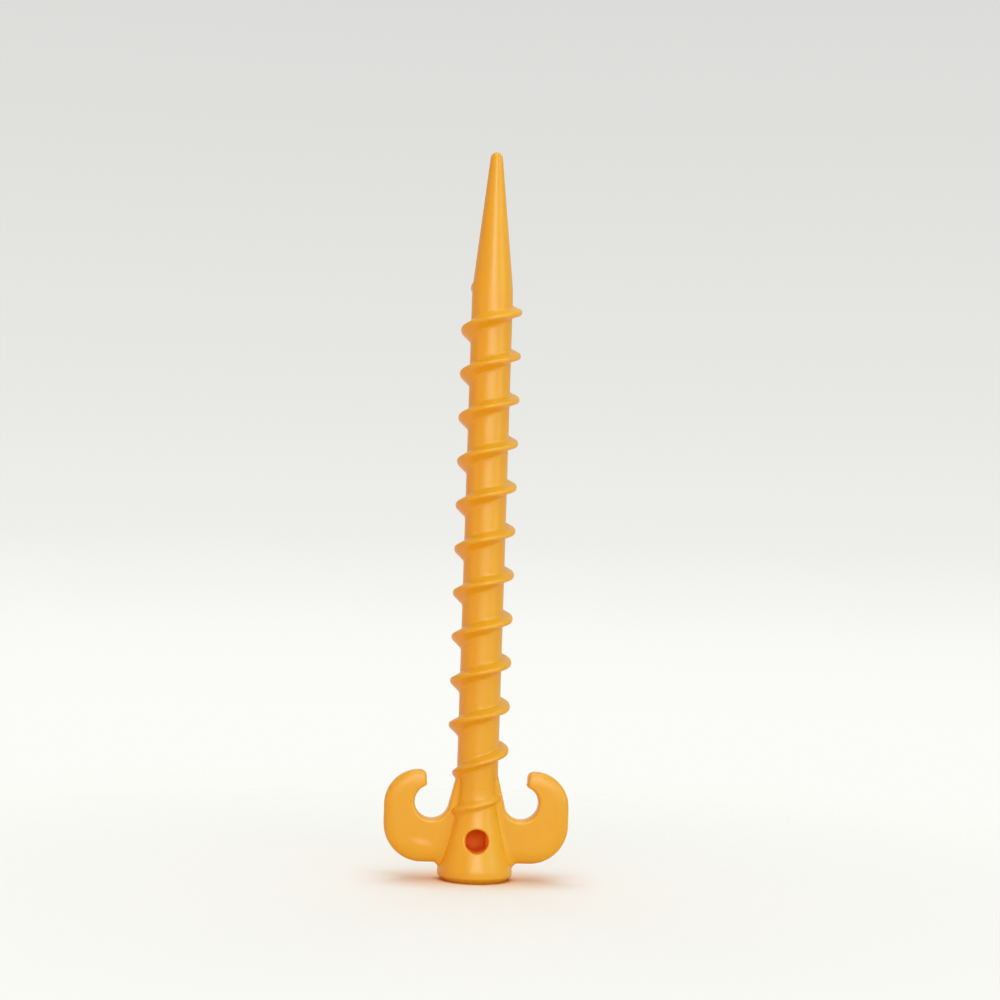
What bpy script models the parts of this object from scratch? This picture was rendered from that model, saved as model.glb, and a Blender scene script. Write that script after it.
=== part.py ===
"""Screw-in tent stake, standing on its flat head with the point up.

A flared head with a cross hole, a guy-line hook on each side of it, a round shank
wound with a coarse right-hand thread, and a blunt point.

Units are metres. +Z runs along the stake from the head's flat end to the point, the
hooks lie along X, and the cross hole opens towards -Y. The origin is the centre of
the flat end.
"""

import math

import bmesh
import bpy
from mathutils import Matrix, Vector

# The stake as a whole
STAKE_LENGTH = 0.200
CLEARANCE = 0.0003

# Head: a bell that flares from the shank to a straight foot with a bevelled rim and a cross hole
HEAD_RADIUS = 0.0103
HEAD_HEIGHT = 0.0250
HEAD_FOOT = 0.0033
HEAD_FLARE = 1.5  # 1 would be a straight taper, and more draws its side in to a hollow curve
RIM_BEVEL_HEIGHT = 0.0014
RIM_BEVEL_INSET = 0.0016
HOLE_RADIUS = 0.0032
HOLE_ABOVE_RIM = 0.0098
HOLE_BACK_WALL = 0.0050

# Shank and point
SHANK_RADIUS = 0.00565
POINT_LENGTH = 0.0385
NOSE_RADIUS = 0.0017

# Hooks: flat plates with rounded edges, each bent round an open eye
HOOK_THICKNESS = 0.0056
HOOK_EDGE_ROUND = 0.0008
EDGE_ROUND_LIMIT = 0.85  # the most that an edge round may take of a corner or of half the plate
HOOK_ABOVE_END = 0.00465
EYE_RADIUS = 0.0047
EYE_ABOVE_LOWER_EDGE = 0.01645
EYE_TO_SHANK = 0.00195
HOOK_ARM_WIDTH = 0.0083
HOOK_TIP_DEPTH = 0.0039
HOOK_TIP_SETBACK = 0.00155
HOOK_TIP_ROUND = 0.0018
HOOK_TIP_FLAT = 0.0001
HOOK_LIP_ROUND = 0.0010
LOWER_CORNER_RADIUS = 0.0105
WEB_LEAN = math.radians(14.0)
WEB_END_WIDTH = 0.0004

# Thread: one right-hand flight that fades out at both ends
THREAD_PITCH = 0.01205
THREAD_HEIGHT = 0.0027
THREAD_FOOT_WIDTH = 0.0038
THREAD_CREST_WIDTH = 0.0013
THREAD_SHOULDER = 0.78  # share of the height where the flank turns into the round crest
THREAD_ABOVE_WEB = 0.0018
THREAD_LEAN = 0.047  # drop of the turns towards +X, as a share of the distance across
THREAD_START_DROP = 0.00115
FADE_HEIGHT = 0.00115
FADE_TURNS_AT_HEAD = 0.9
FADE_TURNS_AT_POINT = 0.5

# Smoothness of the round forms
ROUND_STEPS = 48
THREAD_STEPS_PER_TURN = 30
HOLE_STEPS = 32
EYE_STEPS = 24
FLARE_STEPS = 12
CORNER_STEPS = 8
NOSE_STEPS = 6
SMALL_ROUND_STEPS = 4
EDGE_SEGMENTS = 3
MERGE_DISTANCE = 1e-6

# Finish of the moulded plastic
PLASTIC_COLOUR = (0.84, 0.38, 0.04, 1.0)
PLASTIC_ROUGHNESS = 0.35
SHARP_ANGLE = math.radians(35.0)

# Places that follow from the sizes above
EYE_X = SHANK_RADIUS + EYE_TO_SHANK + EYE_RADIUS
EYE_Z = HOOK_ABOVE_END + EYE_ABOVE_LOWER_EDGE
HOOK_REACH = EYE_X + EYE_RADIUS + HOOK_ARM_WIDTH
HOOK_TOP = EYE_Z + EYE_RADIUS + HOOK_TIP_DEPTH
TIP_X = EYE_X + HOOK_TIP_SETBACK
UPPER_CORNER_RADIUS = HOOK_REACH - TIP_X - HOOK_TIP_ROUND - HOOK_TIP_FLAT
HOLE_Z = RIM_BEVEL_HEIGHT + HOLE_ABOVE_RIM
SHANK_BOTTOM = HEAD_HEIGHT + CLEARANCE
SHANK_TOP = STAKE_LENGTH - POINT_LENGTH
POINT_BOTTOM = SHANK_TOP + CLEARANCE


def core_radius_at(height):
    """Radius of the head, or of the shank above it, at a height over the flat end."""
    share = (HEAD_HEIGHT - height) / (HEAD_HEIGHT - HEAD_FOOT)
    return SHANK_RADIUS + (HEAD_RADIUS - SHANK_RADIUS) * min(1.0, max(0.0, share)) ** HEAD_FLARE


def arc(centre, radius, start, end, steps):
    """Points on an arc in a plane, from one angle in degrees to another."""
    points = []
    for step in range(steps + 1):
        angle = math.radians(start + (end - start) * step / steps)
        points.append((centre[0] + radius * math.cos(angle), centre[1] + radius * math.sin(angle)))
    return points


def plastic(name):
    material = bpy.data.materials.new(name + "_plastic")
    material.use_nodes = True
    shader = material.node_tree.nodes["Principled BSDF"]
    shader.inputs["Base Color"].default_value = PLASTIC_COLOUR
    shader.inputs["Roughness"].default_value = PLASTIC_ROUGHNESS
    shader.inputs["Metallic"].default_value = 0.0
    return material


def add_object(name, bm, parent):
    """Turn a finished bmesh into a smooth-shaded object of its own material."""
    bmesh.ops.recalc_face_normals(bm, faces=bm.faces)
    mesh = bpy.data.meshes.new(name)
    bm.to_mesh(mesh)
    bm.free()
    mesh.shade_smooth()
    mesh.set_sharp_from_angle(angle=SHARP_ANGLE)
    mesh.materials.append(plastic(name))
    piece = bpy.data.objects.new(name, mesh)
    bpy.context.collection.objects.link(piece)
    piece.parent = parent
    return piece


def turned(profile):
    """Spin a profile of (radius, height) points, both ends on the axis, about Z."""
    bm = bmesh.new()
    verts = [bm.verts.new((radius, 0.0, height)) for radius, height in profile]
    edges = [bm.edges.new(pair) for pair in zip(verts, verts[1:])]
    bmesh.ops.spin(bm, geom=verts + edges, cent=(0, 0, 0), axis=(0, 0, 1),
                   angle=math.tau, steps=ROUND_STEPS, use_merge=True)
    bmesh.ops.remove_doubles(bm, verts=bm.verts, dist=MERGE_DISTANCE)
    return bm


def cut(piece, cutter):
    """Cut one object with another, which is kept as a hidden guide."""
    cutter.hide_render = True
    cutter.display_type = 'WIRE'
    modifier = piece.modifiers.new("cut_" + cutter.name, 'BOOLEAN')
    modifier.operation = 'DIFFERENCE'
    modifier.solver = 'EXACT'
    modifier.object = cutter


def head_profile(gap):
    """Half section of the head, grown by a gap."""
    profile = [(0.0, -gap), (HEAD_RADIUS - RIM_BEVEL_INSET + gap, -gap)]
    profile.append((HEAD_RADIUS + gap, RIM_BEVEL_HEIGHT))
    for step in range(FLARE_STEPS + 1):
        height = HEAD_FOOT + (HEAD_HEIGHT - HEAD_FOOT) * step / FLARE_STEPS
        profile.append((core_radius_at(height) + gap, height))
    return profile


def make_head(stake):
    head = add_object("head", turned(head_profile(0.0) + [(0.0, HEAD_HEIGHT)]), stake)

    # The hole enters from the front and stops short of the back wall
    front = -HEAD_RADIUS - CLEARANCE
    floor = core_radius_at(HOLE_Z) - HOLE_BACK_WALL
    bm = bmesh.new()
    bmesh.ops.create_cone(bm, cap_ends=True, segments=HOLE_STEPS, radius1=HOLE_RADIUS,
                          radius2=HOLE_RADIUS, depth=floor - front,
                          matrix=Matrix.Rotation(math.radians(90.0), 4, 'X'))
    hole = add_object("cross_hole", bm, stake)
    hole.location = (0.0, (front + floor) / 2, HOLE_Z)
    cut(head, hole)


def nose_tangent(base):
    """Where a straight taper from the shank's edge meets the round nose."""
    edge = Vector((SHANK_RADIUS, base))
    to_centre = Vector((0.0, STAKE_LENGTH - NOSE_RADIUS)) - edge
    swing = math.asin(NOSE_RADIUS / to_centre.length)
    along = to_centre.normalized()
    along.rotate(Matrix.Rotation(-swing, 2))
    return edge + along * math.sqrt(to_centre.length_squared - NOSE_RADIUS ** 2)


def make_shank_and_point(stake):
    shank_length = SHANK_TOP - SHANK_BOTTOM
    profile = [(0.0, 0.0), (SHANK_RADIUS, 0.0), (SHANK_RADIUS, shank_length), (0.0, shank_length)]
    shank = add_object("shank", turned(profile), stake)
    shank.location.z = SHANK_BOTTOM

    touch = nose_tangent(POINT_BOTTOM)
    nose_centre = (0.0, STAKE_LENGTH - NOSE_RADIUS)
    nose_start = math.degrees(math.atan2(touch.y - nose_centre[1], touch.x))
    nose = arc(nose_centre, NOSE_RADIUS, nose_start, 90, NOSE_STEPS)
    nose[-1] = (0.0, STAKE_LENGTH)
    profile = [(0.0, POINT_BOTTOM), (SHANK_RADIUS, POINT_BOTTOM)] + nose
    point = add_object("point", turned([(r, z - POINT_BOTTOM) for r, z in profile]), stake)
    point.location.z = POINT_BOTTOM


def web_top():
    """Height at which the web that climbs from the eye has thinned out on the shank."""
    lean_x = EYE_X - EYE_RADIUS * math.cos(WEB_LEAN)
    lean_z = EYE_Z - EYE_RADIUS * math.sin(WEB_LEAN)
    end_x = SHANK_RADIUS + CLEARANCE + WEB_END_WIDTH
    return lean_z + (lean_x - end_x) / math.tan(WEB_LEAN)


def hook_outline():
    """Outline of the +X hook in X and Z, run in to the stake's axis."""
    lip_x = TIP_X + HOOK_LIP_ROUND
    lip_z = EYE_Z + math.sqrt((EYE_RADIUS + HOOK_LIP_ROUND) ** 2 - (lip_x - EYE_X) ** 2)
    lip_angle = math.degrees(math.atan2(lip_z - EYE_Z, lip_x - EYE_X))
    web_angle = -180 + math.degrees(WEB_LEAN)

    lower = (HOOK_REACH - LOWER_CORNER_RADIUS, HOOK_ABOVE_END + LOWER_CORNER_RADIUS)
    upper = (HOOK_REACH - UPPER_CORNER_RADIUS, HOOK_TOP - UPPER_CORNER_RADIUS)
    tip = (TIP_X + HOOK_TIP_ROUND, HOOK_TOP - HOOK_TIP_ROUND)

    outline = [(0.0, HOOK_ABOVE_END)]
    outline += arc(lower, LOWER_CORNER_RADIUS, -90, 0, CORNER_STEPS)
    outline += arc(upper, UPPER_CORNER_RADIUS, 0, 90, CORNER_STEPS)
    outline += arc(tip, HOOK_TIP_ROUND, 90, 180, SMALL_ROUND_STEPS)
    outline += arc((lip_x, lip_z), HOOK_LIP_ROUND, 180, 180 + lip_angle, SMALL_ROUND_STEPS)
    outline += arc((EYE_X, EYE_Z), EYE_RADIUS, lip_angle, web_angle, EYE_STEPS)[1:]
    outline += [(SHANK_RADIUS + CLEARANCE + WEB_END_WIDTH, web_top()), (0.0, web_top())]
    return outline


def make_hook(name, side, core, stake):
    """A hook plate on the +X side (1) or the -X side (-1), cut to lie on the core."""
    half = HOOK_THICKNESS / 2
    bm = bmesh.new()
    front = bm.faces.new([bm.verts.new((side * x, -half, z)) for x, z in hook_outline()])
    back = bmesh.ops.extrude_face_region(bm, geom=[front], use_keep_orig=True)["geom"]
    bmesh.ops.translate(bm, vec=(0.0, HOOK_THICKNESS, 0.0),
                        verts=[item for item in back if isinstance(item, bmesh.types.BMVert)])
    bmesh.ops.remove_doubles(bm, verts=bm.verts, dist=MERGE_DISTANCE)
    bmesh.ops.recalc_face_normals(bm, faces=bm.faces)
    rims = [edge for edge in bm.edges
            if abs(edge.verts[0].co.y - edge.verts[1].co.y) < half]
    edge_round = min(HOOK_EDGE_ROUND, EDGE_ROUND_LIMIT * min(HOOK_LIP_ROUND, HOOK_TIP_ROUND, half))
    bmesh.ops.bevel(bm, geom=rims, offset=edge_round, segments=EDGE_SEGMENTS,
                    profile=0.5, affect='EDGES', clamp_overlap=False)
    cut(add_object(name, bm, stake), core)


def make_hooks(stake):
    # The head and the shank, grown by the gap that the hooks keep to them
    profile = head_profile(CLEARANCE)
    profile += [(SHANK_RADIUS + CLEARANCE, SHANK_TOP), (0.0, SHANK_TOP)]
    core = add_object("core_clearance", turned(profile), stake)
    make_hook("left_hook", -1, core, stake)
    make_hook("right_hook", 1, core, stake)


def thread_height_at(turn):
    """Height of the flight's centre line; turn 0 is over the -X web, where its start hangs lower."""
    drop = THREAD_START_DROP * math.cos(math.pi * turn) ** 2 if abs(turn) < 0.5 else 0.0
    return web_top() + THREAD_ABOVE_WEB + THREAD_FOOT_WIDTH / 2 + turn * THREAD_PITCH - drop


def web_half_turn():
    """Share of a turn that half a web takes up on the shank, with its clearance."""
    return math.asin((HOOK_THICKNESS / 2 + CLEARANCE) / (SHANK_RADIUS + CLEARANCE)) / math.tau


def flight(first_turn, last_turn, height_at):
    """Sweep the thread's section along its helix over the core; height_at gives its height at a turn."""
    bm = bmesh.new()
    steps = math.ceil((last_turn - first_turn) * THREAD_STEPS_PER_TURN)
    rings = []
    for step in range(steps + 1):
        turn = first_turn + (last_turn - first_turn) * step / steps
        height = height_at(turn)
        crest = THREAD_CREST_WIDTH / 2
        foot = crest + (THREAD_FOOT_WIDTH / 2 - crest) * height / THREAD_HEIGHT
        section = [(0.0, -foot), (THREAD_SHOULDER, -crest), (1.0, -crest / 2),
                   (1.0, crest / 2), (THREAD_SHOULDER, crest), (0.0, foot)]
        angle = math.pi + turn * math.tau
        ring = []
        for rise, along in section:
            across = (SHANK_RADIUS + height * rise) * math.cos(angle)
            z = thread_height_at(turn) + along - THREAD_LEAN * across
            radius = core_radius_at(z) + CLEARANCE + (height - CLEARANCE) * rise
            ring.append(bm.verts.new((radius * math.cos(angle), radius * math.sin(angle), z)))
        rings.append(ring)
    for ring, following in zip(rings, rings[1:]):
        for corner in range(len(ring)):
            ahead = (corner + 1) % len(ring)
            bm.faces.new((ring[corner], ring[ahead], following[ahead], following[corner]))
    bm.faces.new(rings[0])
    bm.faces.new(rings[-1])
    return bm


def make_thread(stake):
    # The flight starts behind the +X web and fades in from there
    first = -0.5 + web_half_turn()
    end_height = SHANK_TOP - CLEARANCE - THREAD_FOOT_WIDTH / 4
    last = (end_height - thread_height_at(0.5)) / THREAD_PITCH + 0.5

    def fading_height(turn):
        share = min(1.0, (turn - first) / FADE_TURNS_AT_HEAD, (last - turn) / FADE_TURNS_AT_POINT)
        return FADE_HEIGHT + (THREAD_HEIGHT - FADE_HEIGHT) * share

    add_object("thread", flight(first, last, fading_height), stake)

    # The low first stretch crosses the front of the head's neck, from web to web
    low_first = -1.0 + web_half_turn()
    low_last = -0.5 - web_half_turn()
    add_object("thread_lead_in", flight(low_first, low_last, lambda turn: FADE_HEIGHT), stake)


for old in list(bpy.data.objects):
    bpy.data.objects.remove(old, do_unlink=True)

tent_stake = bpy.data.objects.new("tent_stake", None)
bpy.context.collection.objects.link(tent_stake)
make_head(tent_stake)
make_shank_and_point(tent_stake)
make_hooks(tent_stake)
make_thread(tent_stake)
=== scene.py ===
"""Screw-in tent stake of moulded yellow plastic, standing on its head on a pale floor.

Lengths are metres. +Z runs from the head's flat end to the point, and the hooks lie along X.
"""

import math

import bmesh
import bpy
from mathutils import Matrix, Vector


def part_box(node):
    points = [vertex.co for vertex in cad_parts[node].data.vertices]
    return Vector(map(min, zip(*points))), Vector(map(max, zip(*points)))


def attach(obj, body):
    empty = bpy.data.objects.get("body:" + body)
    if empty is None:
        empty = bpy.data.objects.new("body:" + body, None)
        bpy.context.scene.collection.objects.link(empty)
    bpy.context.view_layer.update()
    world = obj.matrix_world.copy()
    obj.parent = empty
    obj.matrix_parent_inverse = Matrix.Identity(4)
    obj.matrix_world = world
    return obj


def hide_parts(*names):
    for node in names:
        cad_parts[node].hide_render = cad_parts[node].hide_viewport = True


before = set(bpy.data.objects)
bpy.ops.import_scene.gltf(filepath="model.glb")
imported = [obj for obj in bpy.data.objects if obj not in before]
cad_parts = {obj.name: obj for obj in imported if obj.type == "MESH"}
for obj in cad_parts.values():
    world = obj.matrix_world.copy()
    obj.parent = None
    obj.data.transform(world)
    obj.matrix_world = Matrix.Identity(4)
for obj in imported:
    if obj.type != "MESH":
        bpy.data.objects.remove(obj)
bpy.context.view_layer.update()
bpy.ops.object.select_all(action='DESELECT')


# Head
# The bell-shaped end that the stake stands on, with a blind cross hole for a bar or a cord. It is
# injection-moulded in one shot with the rest, in polypropylene. A core pin leaves the hole, and the
# gate leaves a shallow round mark in the middle of the flat end.
MM = 0.001
rim_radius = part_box("head")[1].x
head_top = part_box("head")[1].z
neck_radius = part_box("shank")[1].x
end_bevel_height = 1.4 * MM
end_bevel_inset = 1.6 * MM
end_bevel_round = 0.5 * MM
end_bevel_steps = 6
gate_radius = 1.9 * MM
gate_depth = 0.3 * MM
foot_height = 3.3 * MM
foot_ease = 0.8 * MM
flare_power = 1.5
flare_row = 0.5 * MM
round_sides = 128


def turned(name, profile):
    """Draws a disc up through (radius, height) pairs into a closed piece, left in edit mode."""
    radius, height = profile[0]
    bpy.ops.mesh.primitive_circle_add(vertices=round_sides, radius=radius, fill_type='NGON',
                                      location=(0, 0, height))
    piece = bpy.context.object
    piece.name = name
    bpy.ops.object.transform_apply()
    bpy.ops.object.mode_set(mode='EDIT')
    bpy.ops.mesh.select_all(action='SELECT')
    for next_radius, next_height in profile[1:]:
        rise = (0, 0, next_height - height)
        grow = next_radius / radius
        bpy.ops.mesh.extrude_region_move(TRANSFORM_OT_translate={"value": rise})
        bpy.ops.transform.resize(value=(grow, grow, 1), center_override=(0, 0, next_height))
        radius, height = next_radius, next_height
    bpy.ops.mesh.select_all(action='SELECT')
    bpy.ops.mesh.normals_make_consistent(inside=False)
    return piece


def arc(centre_radius, centre_height, size, start, end, steps):
    """(radius, height) pairs on an arc, from one angle in degrees to another."""
    pairs = []
    for step in range(steps + 1):
        angle = math.radians(start + (end - start) * step / steps)
        pairs.append((centre_radius + size * math.cos(angle), centre_height + size * math.sin(angle)))
    return pairs


def flare_radius(height):
    """Radius of the head, or of the shank above it, at a height over the flat end."""
    past_foot = height - foot_height
    eased = (past_foot + math.hypot(past_foot, foot_ease)) / 2
    share = max(0.0, 1 - eased / (head_top - foot_height))
    return neck_radius + (rim_radius - neck_radius) * share ** flare_power


def move_selected(piece, place):
    """In edit mode, puts each selected vertex where a function of its position says."""
    mesh = bmesh.from_edit_mesh(piece.data)
    for vert in mesh.verts:
        if vert.select:
            vert.co = place(vert.co)
    bmesh.update_edit_mesh(piece.data)


def select_faces(piece, wanted):
    """In edit mode, selects the faces whose middle point passes a test."""
    bpy.ops.mesh.select_mode(type='FACE')
    bpy.ops.mesh.select_all(action='DESELECT')
    mesh = bmesh.from_edit_mesh(piece.data)
    for face in mesh.faces:
        face.select_set(wanted(face.calc_center_median()))
    bmesh.update_edit_mesh(piece.data)


bevel_tilt = math.atan2(end_bevel_inset, end_bevel_height)
flare_start = end_bevel_height + end_bevel_round * math.tan(bevel_tilt / 2)
foot_radius = flare_radius(flare_start)
profile = [(gate_radius - gate_depth, gate_depth), (gate_radius, 0.0)]
profile.append((foot_radius - end_bevel_inset, 0.0))
profile += arc(foot_radius - end_bevel_round, flare_start, end_bevel_round,
               -math.degrees(bevel_tilt), 0, end_bevel_steps)
flare_rows = round((head_top - flare_start) / flare_row)
for row in range(1, flare_rows + 1):
    height = flare_start + (head_top - flare_start) * row / flare_rows
    profile.append((flare_radius(height), height))
head = turned("head_bell", profile)

# The hole: a patch of the bell is taken out, its edge is drawn in to the hole's lip, and the lip is
# carried on down the wall to the floor. Depths are places along Y, and the hole opens towards -Y
hole_height = 11.2 * MM
hole_radius = 3.2 * MM
hole_floor = 2.9 * MM
hole_floor_round = 2.2 * MM
hole_floor_steps = 5
hole_lip_round = 0.45 * MM
hole_lip_rings = 6
hole_wall_start = -4.5 * MM
hole_wall_row = 1.5 * MM
hole_wall_rows = 4
patch_half_height = 4.6 * MM
patch_half_angle = math.radians(36.0)
patch_rings = 6


def in_patch(middle):
    turned_away = abs(math.atan2(middle.x, -middle.y))
    return abs(middle.z - hole_height) < patch_half_height and turned_away < patch_half_angle


def about_hole(point):
    return math.atan2(point.z - hole_height, point.x)


def hole_point(angle, reach, depth):
    """A point at an angle and a distance about the hole's axis, and at a depth."""
    return Vector((reach * math.cos(angle), depth, hole_height + reach * math.sin(angle)))


def on_front(angle, reach):
    """The bell's front, at an angle and a distance about the hole's axis."""
    x = reach * math.cos(angle)
    z = hole_height + reach * math.sin(angle)
    return Vector((x, -math.sqrt(flare_radius(z) ** 2 - x ** 2), z))


def lip_point(angle, share):
    """A point on the hole's rounded lip, from the bell, share 0, to the hole's wall, share 1."""
    centre = hole_radius + hole_lip_round
    step = 0.1 * MM
    fall = on_front(angle, centre + step).y - on_front(angle, centre - step).y
    slope = math.atan(fall / (2 * step))
    touch = on_front(angle, centre + hole_lip_round * math.sin(slope))
    middle_depth = touch.y + hole_lip_round * math.cos(slope)
    swing = -slope + (math.pi / 2 + slope) * share
    return hole_point(angle, centre - hole_lip_round * math.sin(swing),
                      middle_depth - hole_lip_round * math.cos(swing))


def drawn_in(point, rings_left):
    """A point of the patch's edge, moved over the bell to the next of the rings up to the lip."""
    angle = about_hole(point)
    reach = math.hypot(point.x, point.z - hole_height)
    lip = lip_point(angle, 0.0)
    lip_reach = math.hypot(lip.x, lip.z - hole_height)
    return on_front(angle, reach + (lip_reach - reach) / rings_left)


select_faces(head, in_patch)
bpy.ops.mesh.delete(type='FACE')
bpy.ops.mesh.select_mode(type='EDGE')
bpy.ops.mesh.select_all(action='DESELECT')
bpy.ops.mesh.select_non_manifold(extend=False)
for ring in range(patch_rings):
    bpy.ops.mesh.extrude_region_move()
    move_selected(head, lambda point: drawn_in(point, patch_rings - ring))
for ring in range(1, hole_lip_rings + 1):
    bpy.ops.mesh.extrude_region_move()
    move_selected(head, lambda point: lip_point(about_hole(point), ring / hole_lip_rings))
hole_wall = [(hole_radius, hole_wall_start + hole_wall_row * row) for row in range(hole_wall_rows)]
hole_wall += arc(hole_radius - hole_floor_round, hole_floor - hole_floor_round, hole_floor_round,
                 0, 90, hole_floor_steps)
for reach, depth in hole_wall:
    bpy.ops.mesh.extrude_region_move()
    move_selected(head, lambda point: hole_point(about_hole(point), reach, depth))
bpy.ops.mesh.edge_face_add()
bpy.ops.mesh.select_all(action='SELECT')
bpy.ops.mesh.normals_make_consistent(inside=False)
bpy.ops.object.mode_set(mode='OBJECT')


def linear(hex_colour):
    """An sRGB hex colour as the linear values that shaders take."""
    shares = [int(hex_colour[i:i + 2], 16) / 255 for i in (1, 3, 5)]
    return [s / 12.92 if s <= 0.04045 else ((s + 0.055) / 1.055) ** 2.4 for s in shares] + [1.0]


def add_node(tree, kind, settings, inputs):
    """Adds a node with its own settings, and sets or links its inputs by name."""
    node = tree.nodes.new(kind)
    for name, value in settings.items():
        setattr(node, name, value)
    for name, value in inputs.items():
        if isinstance(value, bpy.types.NodeSocket):
            tree.links.new(value, node.inputs[name])
        else:
            node.inputs[name].default_value = value
    return node


# Injection-moulded polypropylene, coloured right through with a warm yellow pigment. The mould's
# polish leaves it satin to glossy, with faint flow marks along the shot and a fine orange peel.
yellow_polypropylene = bpy.data.materials.new("yellow_polypropylene")
yellow_polypropylene.use_nodes = True
tree = yellow_polypropylene.node_tree
shader = tree.nodes["Principled BSDF"]
place = add_node(tree, 'ShaderNodeTexCoord', {}, {}).outputs["Object"]
flow_width = 6.0 * MM
flow_length = 20.0 * MM
flow_place = add_node(tree, 'ShaderNodeMapping', {}, {
    "Vector": place, "Scale": (1, 1, flow_width / flow_length)})
flow = add_node(tree, 'ShaderNodeTexNoise', {}, {
    "Vector": flow_place.outputs["Vector"], "Scale": 1 / flow_width, "Detail": 3.0})
tint = add_node(tree, 'ShaderNodeMix', {"data_type": 'RGBA'}, {
    "Factor": flow.outputs["Fac"], "A": linear("#E8A61A"), "B": linear("#EDB020")})
polish_patch = 1.6 * MM
polish = add_node(tree, 'ShaderNodeTexNoise', {}, {
    "Vector": place, "Scale": 1 / polish_patch, "Detail": 4.0})
gloss = add_node(tree, 'ShaderNodeMapRange', {}, {
    "Value": polish.outputs["Fac"], "To Min": 0.28, "To Max": 0.40})

# The core pin isn't polished, so the hole is matt. Its turn to deeper orange on the way in is painted
# shade, for light bounced in the hole and passed through its plastic
hole_margin = 0.05 * MM
behind_floor = 1.0 * MM
matt_and_painted_shade_start = -8.6 * MM
matt_and_painted_shade_full = -5.5 * MM
from_hole = add_node(tree, 'ShaderNodeVectorMath', {"operation": 'SUBTRACT'}, {
    0: place, 1: (0, 0, hole_height)})
across = add_node(tree, 'ShaderNodeVectorMath', {"operation": 'MULTIPLY'}, {
    0: from_hole.outputs["Vector"], 1: (1, 0, 1)})
off_axis = add_node(tree, 'ShaderNodeVectorMath', {"operation": 'LENGTH'}, {
    0: across.outputs["Vector"]})
in_line = add_node(tree, 'ShaderNodeMath', {"operation": 'LESS_THAN'}, {
    0: off_axis.outputs["Value"], 1: hole_radius + hole_margin})
place_parts = add_node(tree, 'ShaderNodeSeparateXYZ', {}, {"Vector": place})
before_back = add_node(tree, 'ShaderNodeMath', {"operation": 'LESS_THAN'}, {
    0: place_parts.outputs["Y"], 1: hole_floor + behind_floor})
in_hole = add_node(tree, 'ShaderNodeMath', {"operation": 'MULTIPLY'}, {
    0: in_line.outputs["Value"], 1: before_back.outputs["Value"]})
deeper = add_node(tree, 'ShaderNodeMapRange', {}, {
    "Value": place_parts.outputs["Y"], "From Min": matt_and_painted_shade_start, "From Max": matt_and_painted_shade_full,
    "To Max": in_hole.outputs["Value"]})
roughness = add_node(tree, 'ShaderNodeMix', {}, {
    "Factor": deeper.outputs["Result"], "A": gloss.outputs["Result"], "B": 0.8})
# Painted shade: the inside of the hole is tinted deeper orange, more so the deeper it goes
hole_painted_shade = add_node(tree, 'ShaderNodeMix', {"data_type": 'RGBA'}, {
    "Factor": deeper.outputs["Result"], "A": tint.outputs["Result"], "B": linear("#FF881A")})

# A painted highlight: a soft pale glint, as of a lamp's reflection, on the front of the left hook in
# one place
glint_middle = (-14.8 * MM, -2.8 * MM, 10.3 * MM)
glint_size = (3.6 * MM, 2.0 * MM, 1.25 * MM)
glint_turn = math.radians(13.0)
glint_place = add_node(tree, 'ShaderNodeMapping', {"vector_type": 'TEXTURE'}, {
    "Vector": place, "Location": glint_middle, "Rotation": (0, glint_turn, 0), "Scale": glint_size})
painted_glint = add_node(tree, 'ShaderNodeTexGradient', {"gradient_type": 'SPHERICAL'}, {
    "Vector": glint_place.outputs["Vector"]})
# The painted highlight is mixed into the plastic's colour
with_painted_glint = add_node(tree, 'ShaderNodeMix', {"data_type": 'RGBA'}, {
    "Factor": painted_glint.outputs["Fac"], "A": hole_painted_shade.outputs["Result"], "B": linear("#F8BE66")})
peel_size = 0.7 * MM
peel_depth = 0.02 * MM
peel = add_node(tree, 'ShaderNodeTexNoise', {}, {
    "Vector": place, "Scale": 1 / peel_size, "Detail": 2.0})
skin = add_node(tree, 'ShaderNodeBump', {}, {
    "Height": peel.outputs["Fac"], "Strength": 0.25, "Distance": peel_depth})
tree.links.new(with_painted_glint.outputs["Result"], shader.inputs["Base Color"])
tree.links.new(roughness.outputs["Result"], shader.inputs["Roughness"])
tree.links.new(skin.outputs["Normal"], shader.inputs["Normal"])
shader.inputs["IOR"].default_value = 1.49
crease_angle = math.radians(40.0)


def finish_piece(piece, node):
    """Smooth shading, the stake's plastic, and the CAD node that the piece stands for."""
    bpy.ops.object.select_all(action='DESELECT')
    piece.select_set(True)
    bpy.context.view_layer.objects.active = piece
    bpy.ops.object.shade_smooth_by_angle(angle=crease_angle)
    piece.data.materials.clear()
    piece.data.materials.append(yellow_polypropylene)
    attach(piece, "root")
    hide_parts(node)
    bpy.ops.object.select_all(action='DESELECT')


finish_piece(head, "head")


# Point
# The long taper that enters the ground first, in the same plastic as the head. It is moulded blunt,
# with a round nose, so that it neither snaps nor cuts, and it swells without an edge into the shank.
point_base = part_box("point")[0].z
point_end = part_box("point")[1].z
nose_radius = 1.7 * MM
nose_arc_end = 88
nose_steps = 10
shoulder_half = 2.5 * MM
taper_row = 2.0 * MM
nose_height = point_end - nose_radius
taper_lean = (math.atan(neck_radius / (nose_height - point_base))
              - math.asin(nose_radius / math.hypot(neck_radius, nose_height - point_base)))
shank_end = point_base - shoulder_half


def taper_radius(height):
    """Radius of the shank and the point, eased over the shoulder where the taper starts."""
    past = height - shank_end
    if past < 0:
        return neck_radius
    if past < 2 * shoulder_half:
        return neck_radius - math.tan(taper_lean) * past ** 2 / (4 * shoulder_half)
    return neck_radius - math.tan(taper_lean) * (past - shoulder_half)


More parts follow.
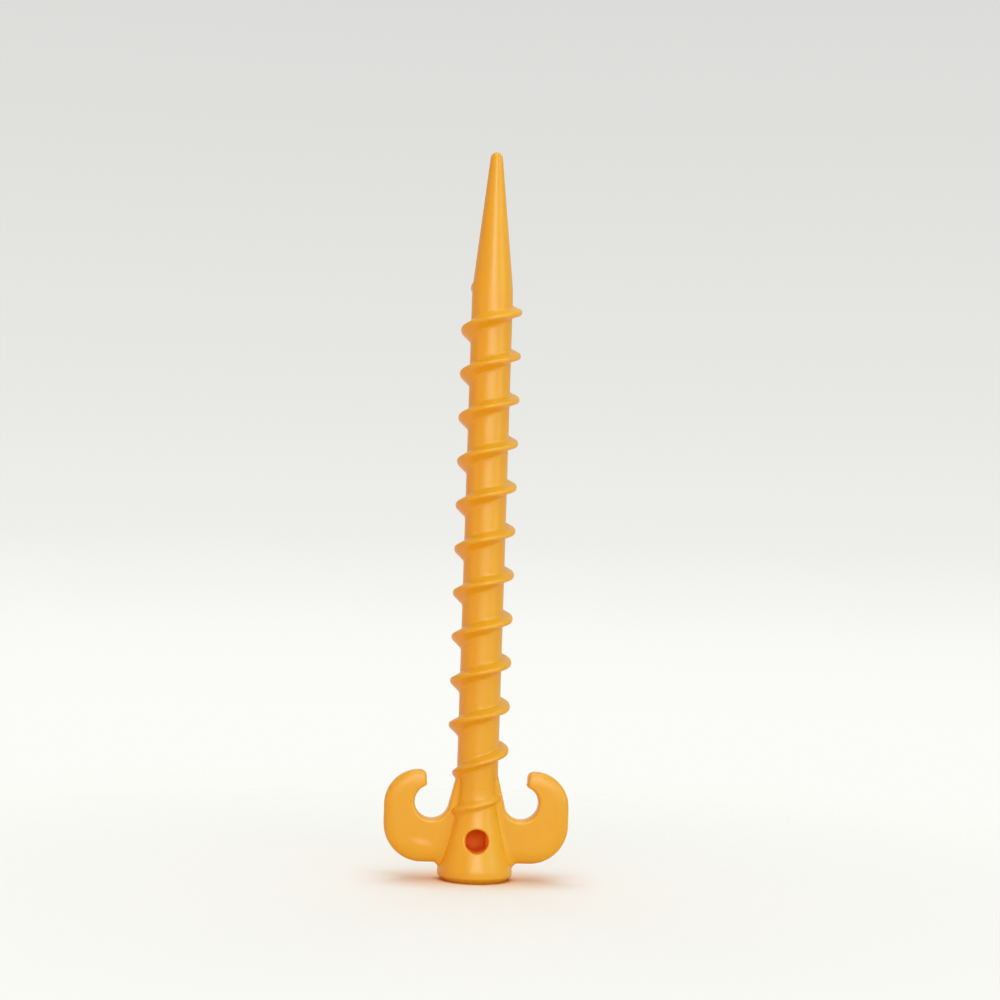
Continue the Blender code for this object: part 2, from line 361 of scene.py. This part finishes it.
nose_arc = arc(0.0, nose_height, nose_radius, math.degrees(taper_lean), nose_arc_end, nose_steps)
taper_end = nose_arc[0][1]
taper_rows = round((taper_end - shank_end) / taper_row)
profile = []
for row in range(taper_rows):
    height = shank_end + (taper_end - shank_end) * row / taper_rows
    profile.append((taper_radius(height), height))
point = turned("point_taper", profile + nose_arc)
bpy.ops.object.mode_set(mode='OBJECT')
finish_piece(point, "point")


# Shank
# The solid round core between the head and the point, moulded with them in the same plastic. It
# carries the thread and takes the twist, and is as thick as the head's neck and the point's shoulder.
shank_rows = 40
profile = []
for row in range(shank_rows + 1):
    profile.append((neck_radius, head_top + (shank_end - head_top) * row / shank_rows))
shank = turned("shank_core", profile)
bpy.ops.object.mode_set(mode='OBJECT')
finish_piece(shank, "shank")


# Thread
# One right-hand flight moulded on the shank, which bites the soil as the stake is turned. It starts
# low on the neck, grows to full height above the hooks and dies out on the taper. The crest is round
# and the roots are filleted, and the flight is blunt on its +X side and runs out lower at -X.
thread_pitch = 12.05 * MM
thread_height = 2.7 * MM
low_height = 1.15 * MM
left_height = 1.35 * MM
crest_round = 0.67 * MM
crest_steps = 6
flank_lean = 30
root_round = 1.0 * MM
root_steps = 5
root_sink = 0.5 * MM
toe_sink = 0.1 * MM
thread_lean = 0.047
left_spread = 0.55
right_slim = 0.37
low_width = 0.5
steps_per_turn = 72

# Turns are counted from where the flight first crosses the -X side above the hook
first_left_crest = 29.84 * MM
start_drop = 1.15 * MM
drop_reach = 0.5
lead_in_start = -1.0
flight_start = -0.5
full_from = 0.5
fade_from = 10.5
fade_to = 11.16


def thread_section():
    """Half section of the flight, from its crest down to below the core, as (rise, along) pairs."""
    flank_angle = math.radians(flank_lean)
    crest_middle = thread_height - crest_round
    crest = arc(crest_middle, 0.0, crest_round, 0, 90 - flank_lean, crest_steps)
    foot = crest_round * math.cos(flank_angle)
    foot += (crest_middle + crest_round * math.sin(flank_angle)) * math.tan(flank_angle)
    root = foot + root_round * math.tan(flank_angle)
    fillet = arc(root_round, root, root_round, 270 - flank_lean, 180, root_steps)
    return crest + fillet + [(-toe_sink, root + root_sink), (-root_sink, root)]


def grown(share):
    """0 to 1 with a soft start and end."""
    share = min(1.0, max(0.0, share))
    return share * share * (3 - 2 * share)


def flight_height(turn):
    """Height of the flight over the core."""
    if turn < 0:
        return low_height + (left_height - low_height) * grown(1 - turn / flight_start)
    if turn < fade_from:
        return left_height + (thread_height - left_height) * grown(turn / full_from)
    return thread_height * grown((fade_to - turn) / (fade_to - fade_from))


def flight_middle(turn):
    """Height of the flight's middle line, whose start hangs lower over the left hook."""
    middle = first_left_crest + thread_pitch * turn
    if abs(turn) < drop_reach:
        middle -= start_drop * math.cos(math.pi / 2 * turn / drop_reach) ** 2
    return middle


def flank_width(rise, along, share, sideways):
    """Width of a flank against the plain section: blunt at +X, and run out lower at -X."""
    if sideways > 0:
        return 1 - right_slim * (1 - 2 * max(0.0, rise) / thread_height) * sideways ** 2
    if along < 0:
        return 1 + left_spread * share * sideways ** 2
    return 1.0


def core_radius(height):
    return flare_radius(height) if height < head_top else taper_radius(height)


def apply_modifier(piece, kind, **settings):
    """Adds a modifier with its settings and applies it."""
    bpy.context.view_layer.objects.active = piece
    modifier = piece.modifiers.new(kind.lower(), kind)
    for name, value in settings.items():
        setattr(modifier, name, value)
    bpy.ops.object.modifier_apply(modifier=modifier.name)


def wound(name, first_turn, last_turn):
    """Winds the flight's section round the core, then sinks it to the height of each turn."""
    half = thread_section()
    section = half + [(rise, -along) for rise, along in reversed(half[1:])]
    side = math.cos(math.pi * (1 + 2 * first_turn))
    bpy.ops.mesh.primitive_circle_add(vertices=len(section), radius=thread_height,
                                      fill_type='NOTHING')
    piece = bpy.context.object
    piece.name = name
    for vert, (rise, along) in zip(piece.data.vertices, section):
        vert.co = (side * (neck_radius + rise), 0.0, along)
    turns = last_turn - first_turn
    steps = round(steps_per_turn * turns)
    apply_modifier(piece, 'SCREW', angle=math.tau * turns, screw_offset=thread_pitch * turns,
                   steps=steps, render_steps=steps, use_merge_vertices=False)
    bpy.ops.object.mode_set(mode='EDIT')
    bpy.ops.mesh.select_all(action='DESELECT')
    bpy.ops.mesh.select_non_manifold(extend=False)
    bpy.ops.mesh.edge_face_add()
    bpy.ops.mesh.select_all(action='SELECT')

    def settle(at):
        angle_share = (math.atan2(at.y, at.x) / math.tau + 0.5 - first_turn) % 1.0
        turn = angle_share + round(at.z / thread_pitch - angle_share)
        rise = math.hypot(at.x, at.y) - neck_radius
        along = at.z - turn * thread_pitch
        turn += first_turn
        angle = math.pi + math.tau * turn
        sideways = math.cos(angle)
        share = flight_height(turn) / thread_height
        width = flank_width(rise, along, share, sideways)
        height = flight_middle(turn) + along * width * (low_width + (1 - low_width) * share)
        height -= thread_lean * (neck_radius + rise) * sideways
        radius = core_radius(height) + (rise * share if rise > 0 else rise)
        return Vector((radius * sideways, radius * math.sin(angle), height))

    move_selected(piece, settle)
    bpy.ops.mesh.normals_make_consistent(inside=False)
    bpy.ops.object.mode_set(mode='OBJECT')
    return piece


flight = wound("thread_flight", flight_start, fade_to)
finish_piece(flight, "thread")
lead_in = wound("thread_lead_in_ridge", lead_in_start, flight_start)
finish_piece(lead_in, "thread_lead_in")


# Hooks
# Two flat plates, each bent round an open eye, that hold the guy line and serve as a grip for
# turning the stake. They are moulded with the head in the same plastic: their outer edges roll off
# softly, and a fillet joins them to it.
hook_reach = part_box("right_hook")[1].x
hook_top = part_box("right_hook")[1].z
hook_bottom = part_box("right_hook")[0].z
hook_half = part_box("right_hook")[1].y
hook_root = 2.5 * MM
lower_corner = 10.5 * MM
upper_corner = 9.55 * MM
corner_steps = 24
eye_x = 12.3 * MM
eye_z = 21.1 * MM
eye_radius = 4.7 * MM
eye_sides = 96
mouth_clear = 2.0 * MM
tip_x = 13.85 * MM
tip_round = 1.8 * MM
tip_steps = 8
lip_round = 1.0 * MM
lip_steps = 6
web_lean = math.radians(14.0)
rim_bevel = 0.8 * MM
rim_bevel_steps = 3
rim_bevel_over = math.radians(50.0)
roll_off = 4.0 * MM
edge_share = 0.55
foot_fillet = 1.3 * MM
lower_side_fillet = 1.4 * MM
upper_side_fillet = 0.7 * MM
upper_side_height = 23.0 * MM
voxel = 0.25 * MM
smooth_passes = 8
straight_angle = math.radians(1.0)
corner_find = 0.05 * MM


def bevel_corner(piece, x, z, size, steps):
    """Rounds the plate's corner edge that stands at a place in X and Z."""
    bpy.context.view_layer.objects.active = piece
    bpy.ops.object.mode_set(mode='EDIT')
    bpy.ops.mesh.select_mode(type='EDGE')
    bpy.ops.mesh.select_all(action='DESELECT')
    mesh = bmesh.from_edit_mesh(piece.data)
    for edge in mesh.edges:
        near = all(math.hypot(vert.co.x - x, vert.co.z - z) < corner_find for vert in edge.verts)
        edge.select_set(near)
    bmesh.update_edit_mesh(piece.data)
    bpy.ops.mesh.bevel(offset=size, segments=steps, affect='EDGES', clamp_overlap=False)
    bpy.ops.object.mode_set(mode='OBJECT')


bpy.ops.mesh.primitive_cube_add(
    size=1, location=((hook_root + hook_reach) / 2, 0, (hook_bottom + hook_top) / 2),
    scale=(hook_reach - hook_root, 2 * hook_half, hook_top - hook_bottom))
right_hook = bpy.context.object
right_hook.name = "right_hook_plate"
bpy.ops.object.transform_apply()
bevel_corner(right_hook, hook_reach, hook_bottom, lower_corner, corner_steps)
bevel_corner(right_hook, hook_reach, hook_top, upper_corner, corner_steps)

# The eye and its mouth are cut as one opening. It starts as a circle, whose arc from the hook's lip
# to the web is drawn out in three straight runs: up the tip, across the top and down the web. The
# start of the first run stays at the lip, which leaves a corner there to be rounded
lip_angle = math.acos((tip_x - eye_x) / eye_radius)
lip_z = eye_z + eye_radius * math.sin(lip_angle)
web_angle = math.pi + web_lean
web_x = eye_x + eye_radius * math.cos(web_angle)
web_z = eye_z + eye_radius * math.sin(web_angle)
mouth_top = hook_top + mouth_clear
web_top_x = web_x - (mouth_top - web_z) * math.tan(web_lean)
lip_share = 0.1
bpy.ops.mesh.primitive_circle_add(vertices=eye_sides, radius=eye_radius, fill_type='NGON',
                                  location=(eye_x, -2 * hook_half, eye_z),
                                  rotation=(math.pi / 2, 0, 0))
opening = bpy.context.object
bpy.ops.object.transform_apply()
for vert in opening.data.vertices:
    angle = math.atan2(vert.co.z - eye_z, vert.co.x - eye_x) % math.tau
    run = 3 * (angle - lip_angle) / (web_angle - lip_angle)
    if 0 < run < 1:
        up = run if run >= lip_share else 0.0
        vert.co.x, vert.co.z = tip_x, lip_z + (mouth_top - lip_z) * up
    elif 1 <= run < 2:
        vert.co.x, vert.co.z = tip_x + (web_top_x - tip_x) * (run - 1), mouth_top
    elif 2 <= run < 3:
        vert.co.x = web_top_x + (web_x - web_top_x) * (run - 2)
        vert.co.z = mouth_top + (web_z - mouth_top) * (run - 2)
bpy.ops.object.mode_set(mode='EDIT')
bpy.ops.mesh.select_all(action='SELECT')
bpy.ops.mesh.dissolve_limited(angle_limit=straight_angle)
bpy.ops.mesh.extrude_region_move(TRANSFORM_OT_translate={"value": (0, 4 * hook_half, 0)})
bpy.ops.mesh.select_all(action='SELECT')
bpy.ops.mesh.normals_make_consistent(inside=False)
bpy.ops.object.mode_set(mode='OBJECT')
apply_modifier(right_hook, 'BOOLEAN', object=opening)
bpy.data.objects.remove(opening)
bevel_corner(right_hook, tip_x, hook_top, tip_round, tip_steps)
bevel_corner(right_hook, tip_x, lip_z, lip_round, lip_steps)
apply_modifier(right_hook, 'BEVEL', width=rim_bevel, segments=rim_bevel_steps, limit_method='ANGLE',
               angle_limit=rim_bevel_over, use_clamp_overlap=False)
apply_modifier(right_hook, 'REMESH', mode='VOXEL', voxel_size=voxel)


def from_outer_edge(x, z):
    """How far a point of the plate lies in from the hook's outer outline."""
    corner_x = hook_reach - lower_corner
    corner_z = hook_bottom + lower_corner
    if x > corner_x and z < corner_z:
        return lower_corner - math.hypot(x - corner_x, z - corner_z)
    corner_x = hook_reach - upper_corner
    corner_z = hook_top - upper_corner
    if x > corner_x and z > corner_z:
        return upper_corner - math.hypot(x - corner_x, z - corner_z)
    return min(hook_reach - x, z - hook_bottom, hook_top - z)


def plate_half(x, z):
    """Half the plate's thickness: rolled off at the outer edge, and filleted up to the head."""
    inward = min(1.0, max(0.0, from_outer_edge(x, z) / roll_off))
    flat = hook_half * (edge_share + (1 - edge_share) * math.sqrt(1 - (1 - inward) ** 2))
    core = core_radius(z)
    height_share = min(1.0, max(0.0, (z - hook_bottom) / (upper_side_height - hook_bottom)))
    fillet = lower_side_fillet + (upper_side_fillet - lower_side_fillet) * height_share
    fillet_x = math.sqrt((core + fillet) ** 2 - (flat + fillet) ** 2)
    touch_x = fillet_x * core / (core + fillet)
    if x >= fillet_x:
        return flat
    return flat + fillet - math.sqrt(fillet ** 2 - (max(x, touch_x) - fillet_x) ** 2)


def underside_drop(x, z):
    """How far the plate's lower edge is drawn down in a fillet to the head's foot."""
    toward_foot = min(foot_fillet, max(0.0, rim_radius + foot_fillet - x))
    fades_up = max(0.0, 1 - (z - hook_bottom) / (2 * foot_fillet))
    return fades_up * (foot_fillet - math.sqrt(foot_fillet ** 2 - toward_foot ** 2))


for vert in right_hook.data.vertices:
    vert.co.x = min(vert.co.x, hook_reach)
    vert.co.y *= plate_half(vert.co.x, vert.co.z) / hook_half
    vert.co.z -= underside_drop(vert.co.x, vert.co.z)
apply_modifier(right_hook, 'SMOOTH', factor=0.5, iterations=smooth_passes)

bpy.ops.object.select_all(action='DESELECT')
right_hook.select_set(True)
bpy.context.view_layer.objects.active = right_hook
bpy.ops.object.duplicate()
left_hook = bpy.context.object
left_hook.name = "left_hook_plate"
bpy.ops.object.mode_set(mode='EDIT')
bpy.ops.mesh.select_all(action='SELECT')
bpy.ops.transform.resize(value=(-1, 1, 1), center_override=(0, 0, 0))
bpy.ops.mesh.normals_make_consistent(inside=False)
bpy.ops.object.mode_set(mode='OBJECT')
finish_piece(right_hook, "right_hook")
finish_piece(left_hook, "left_hook")


# Floor
# A wide studio floor of matt white paint, which takes the stake's soft shadow. Away from the stake
# it fades out into the light of the wall behind.
floor_radius = 3.0
floor_sides = 128
fade_start = 0.04
fade_end = 0.28
bpy.ops.mesh.primitive_circle_add(vertices=floor_sides, radius=floor_radius, fill_type='NGON',
                                  location=(0, 0, 0))
floor = bpy.context.object
floor.name = "studio_floor"


def seen_directly(tree):
    """1 for what is seen, also in a reflection or through glass, and 0 for bounced light."""
    path = add_node(tree, 'ShaderNodeLightPath', {}, {})
    mirrored = add_node(tree, 'ShaderNodeMath', {"operation": 'ADD', "use_clamp": True}, {
        0: path.outputs["Is Glossy Ray"], 1: path.outputs["Is Transmission Ray"]})
    seen = add_node(tree, 'ShaderNodeMath', {"operation": 'ADD', "use_clamp": True}, {
        0: path.outputs["Is Camera Ray"], 1: mirrored.outputs["Value"]})
    return seen.outputs["Value"]


# Matt white paint, with painted warm shade close to the stake: darker and orange where the plastic is
# near, for its shadow and the orange light it throws. It throws back less light than it shows, and
# warmer, so that undersides keep their orange shade
matt_white = bpy.data.materials.new("matt_white_paint")
matt_white.use_nodes = True
tree = matt_white.node_tree
paint = tree.nodes["Principled BSDF"]
seen = seen_directly(tree)
painted_shade_reach = 16.0 * MM
near_plastic = add_node(tree, 'ShaderNodeAmbientOcclusion', {"samples": 8}, {
    "Distance": painted_shade_reach})
# Painted shade: an occlusion mask tints the floor orange close to the plastic
painted_warm_shade = add_node(tree, 'ShaderNodeMix', {"data_type": 'RGBA'}, {
    "Factor": near_plastic.outputs["AO"], "A": linear("#FFB040"), "B": linear("#F5F8F5")})
white = add_node(tree, 'ShaderNodeMix', {"data_type": 'RGBA'}, {
    "Factor": seen, "A": linear("#E4BFA6"), "B": painted_warm_shade.outputs["Result"]})
tree.links.new(white.outputs["Result"], paint.inputs["Base Color"])
paint.inputs["Roughness"].default_value = 0.75
place = add_node(tree, 'ShaderNodeTexCoord', {}, {}).outputs["Object"]
from_stake = add_node(tree, 'ShaderNodeVectorMath', {"operation": 'LENGTH'}, {"Vector": place})
fade = add_node(tree, 'ShaderNodeMapRange', {"interpolation_type": 'SMOOTHSTEP'}, {
    "Value": from_stake.outputs["Value"], "From Min": fade_start, "From Max": fade_end})
seen_fade = add_node(tree, 'ShaderNodeMath', {"operation": 'MULTIPLY'}, {
    0: fade.outputs["Result"], 1: seen})
clear = add_node(tree, 'ShaderNodeBsdfTransparent', {}, {})
fading_paint = add_node(tree, 'ShaderNodeMixShader', {}, {
    "Fac": seen_fade.outputs["Value"], 1: paint.outputs["BSDF"], 2: clear.outputs["BSDF"]})
tree.links.new(fading_paint.outputs["Shader"], tree.nodes["Material Output"].inputs["Surface"])
floor.data.materials.append(matt_white)


# Light
# Soft lamps above and in front light the stake, windows in front give the sheen down its middle, a
# soft box on the right lights that side, and a warm lamp fills the shade on the left. The wall all
# round is pale grey, darker higher up.
studio = bpy.data.worlds.new("studio")
bpy.context.scene.world = studio
studio.use_nodes = True
tree = studio.node_tree
even = tree.nodes["Background"]
even.inputs["Color"].default_value = linear("#FFF2E0")
even.inputs["Strength"].default_value = 0.33

# Levels on the wall are the upward share of the direction looked in, from the floor's edge up
wall_low = -0.08
wall_high = 0.27
look = add_node(tree, 'ShaderNodeTexCoord', {}, {})
look_parts = add_node(tree, 'ShaderNodeSeparateXYZ', {}, {"Vector": look.outputs["Generated"]})
wall_climb = add_node(tree, 'ShaderNodeMapRange', {}, {
    "Value": look_parts.outputs["Z"], "From Min": wall_low, "From Max": wall_high})
wall = add_node(tree, 'ShaderNodeValToRGB', {}, {"Fac": wall_climb.outputs["Result"]})
wall.color_ramp.elements[0].color = linear("#FCFCF8")
wall.color_ramp.elements[1].color = linear("#DBDBD9")
for level, colour in ((-0.042, "#F9F9F5"), (-0.02, "#F4F4F0"), (0.0, "#EFEFEB"), (0.06, "#E9E9E5"),
                      (0.13, "#E4E4E1")):
    stop = wall.color_ramp.elements.new((level - wall_low) / (wall_high - wall_low))
    stop.color = linear(colour)
backdrop = add_node(tree, 'ShaderNodeBackground', {}, {"Color": wall.outputs["Color"]})
surroundings = add_node(tree, 'ShaderNodeMixShader', {}, {
    "Fac": seen_directly(tree), 1: even.outputs["Background"], 2: backdrop.outputs["Background"]})
tree.links.new(surroundings.outputs["Shader"], tree.nodes["World Output"].inputs["Surface"])

# The floor has a wide lamp of its own, so that only the light from above draws a shadow there
floor_only = bpy.data.collections.new("floor_only")
floor_only.objects.link(floor)
stake_only = bpy.data.collections.new("stake_only")
for piece in (head, point, shank, flight, lead_in, right_hook, left_hook):
    stake_only.objects.link(piece)
aim_height = 0.08


def soft_lamp(name, lit, turn, climb, distance, size, power, colour):
    """A soft lamp aimed at the stake, so many degrees right of the front and above the floor."""
    lamp = bpy.data.lights.new(name, 'AREA')
    lamp.shape = 'RECTANGLE'
    lamp.size, lamp.size_y = size
    lamp.energy = power
    lamp.color = linear(colour)[:3]
    holder = bpy.data.objects.new(name, lamp)
    turn, climb = math.radians(turn), math.radians(climb)
    toward = Vector((math.sin(turn) * math.cos(climb), -math.cos(turn) * math.cos(climb),
                     math.sin(climb)))
    holder.location = Vector((0, 0, aim_height)) + toward * distance
    holder.rotation_euler = toward.to_track_quat('Z', 'Y').to_euler()
    holder.visible_camera = False
    holder.light_linking.receiver_collection = lit
    bpy.context.scene.collection.objects.link(holder)
    return holder


soft_lamp("floor_lamp", floor_only, turn=0, climb=90, distance=2.0, size=(2.0, 3.6),
          power=49.0, colour="#FAFCFF")
soft_lamp("overhead_lamp", stake_only, turn=0, climb=90, distance=2.0, size=(0.8, 0.8),
          power=7.0, colour="#F4FAFF")
soft_lamp("key_soft_box", stake_only, turn=18, climb=64, distance=1.3, size=(0.7, 0.7),
          power=4.4, colour="#F0F8FF")
soft_lamp("right_soft_box", stake_only, turn=57, climb=22, distance=1.0, size=(0.4, 0.9),
          power=2.5, colour="#E2F4F4")
soft_lamp("front_window", stake_only, turn=6, climb=10, distance=0.87, size=(0.8, 0.26),
          power=2.95, colour="#E0F4EE")

# The upper window gives the point its sheen and no other light, and the back fill gives no sheen
upper_window = soft_lamp("upper_window", stake_only, turn=3, climb=26, distance=1.0,
                         size=(0.32, 0.22), power=2.2, colour="#A8DCFF")
upper_window.visible_diffuse = False
soft_lamp("warm_fill", stake_only, turn=-64, climb=6, distance=1.0, size=(0.5, 0.5),
          power=1.8, colour="#FF9450")
back_fill = soft_lamp("back_fill", stake_only, turn=180, climb=20, distance=1.0,
                      size=(0.8, 0.8), power=4.2, colour="#F0F8FF")
back_fill.visible_glossy = False


# Camera
# The eye stands level with the middle of the stake and a little to its left, more than half a metre
# away, and looks through a long portrait lens.
camera = bpy.data.objects.new("camera", bpy.data.cameras.new("camera"))
camera.data.lens = 75.0
camera.location = (-0.0310, -0.5722, 0.0927)
camera.rotation_euler = (math.radians(91.14), math.radians(-1.80), math.radians(-3.52))
bpy.context.scene.collection.objects.link(camera)
bpy.context.scene.camera = camera
bpy.context.scene.view_settings.view_transform = 'Standard'
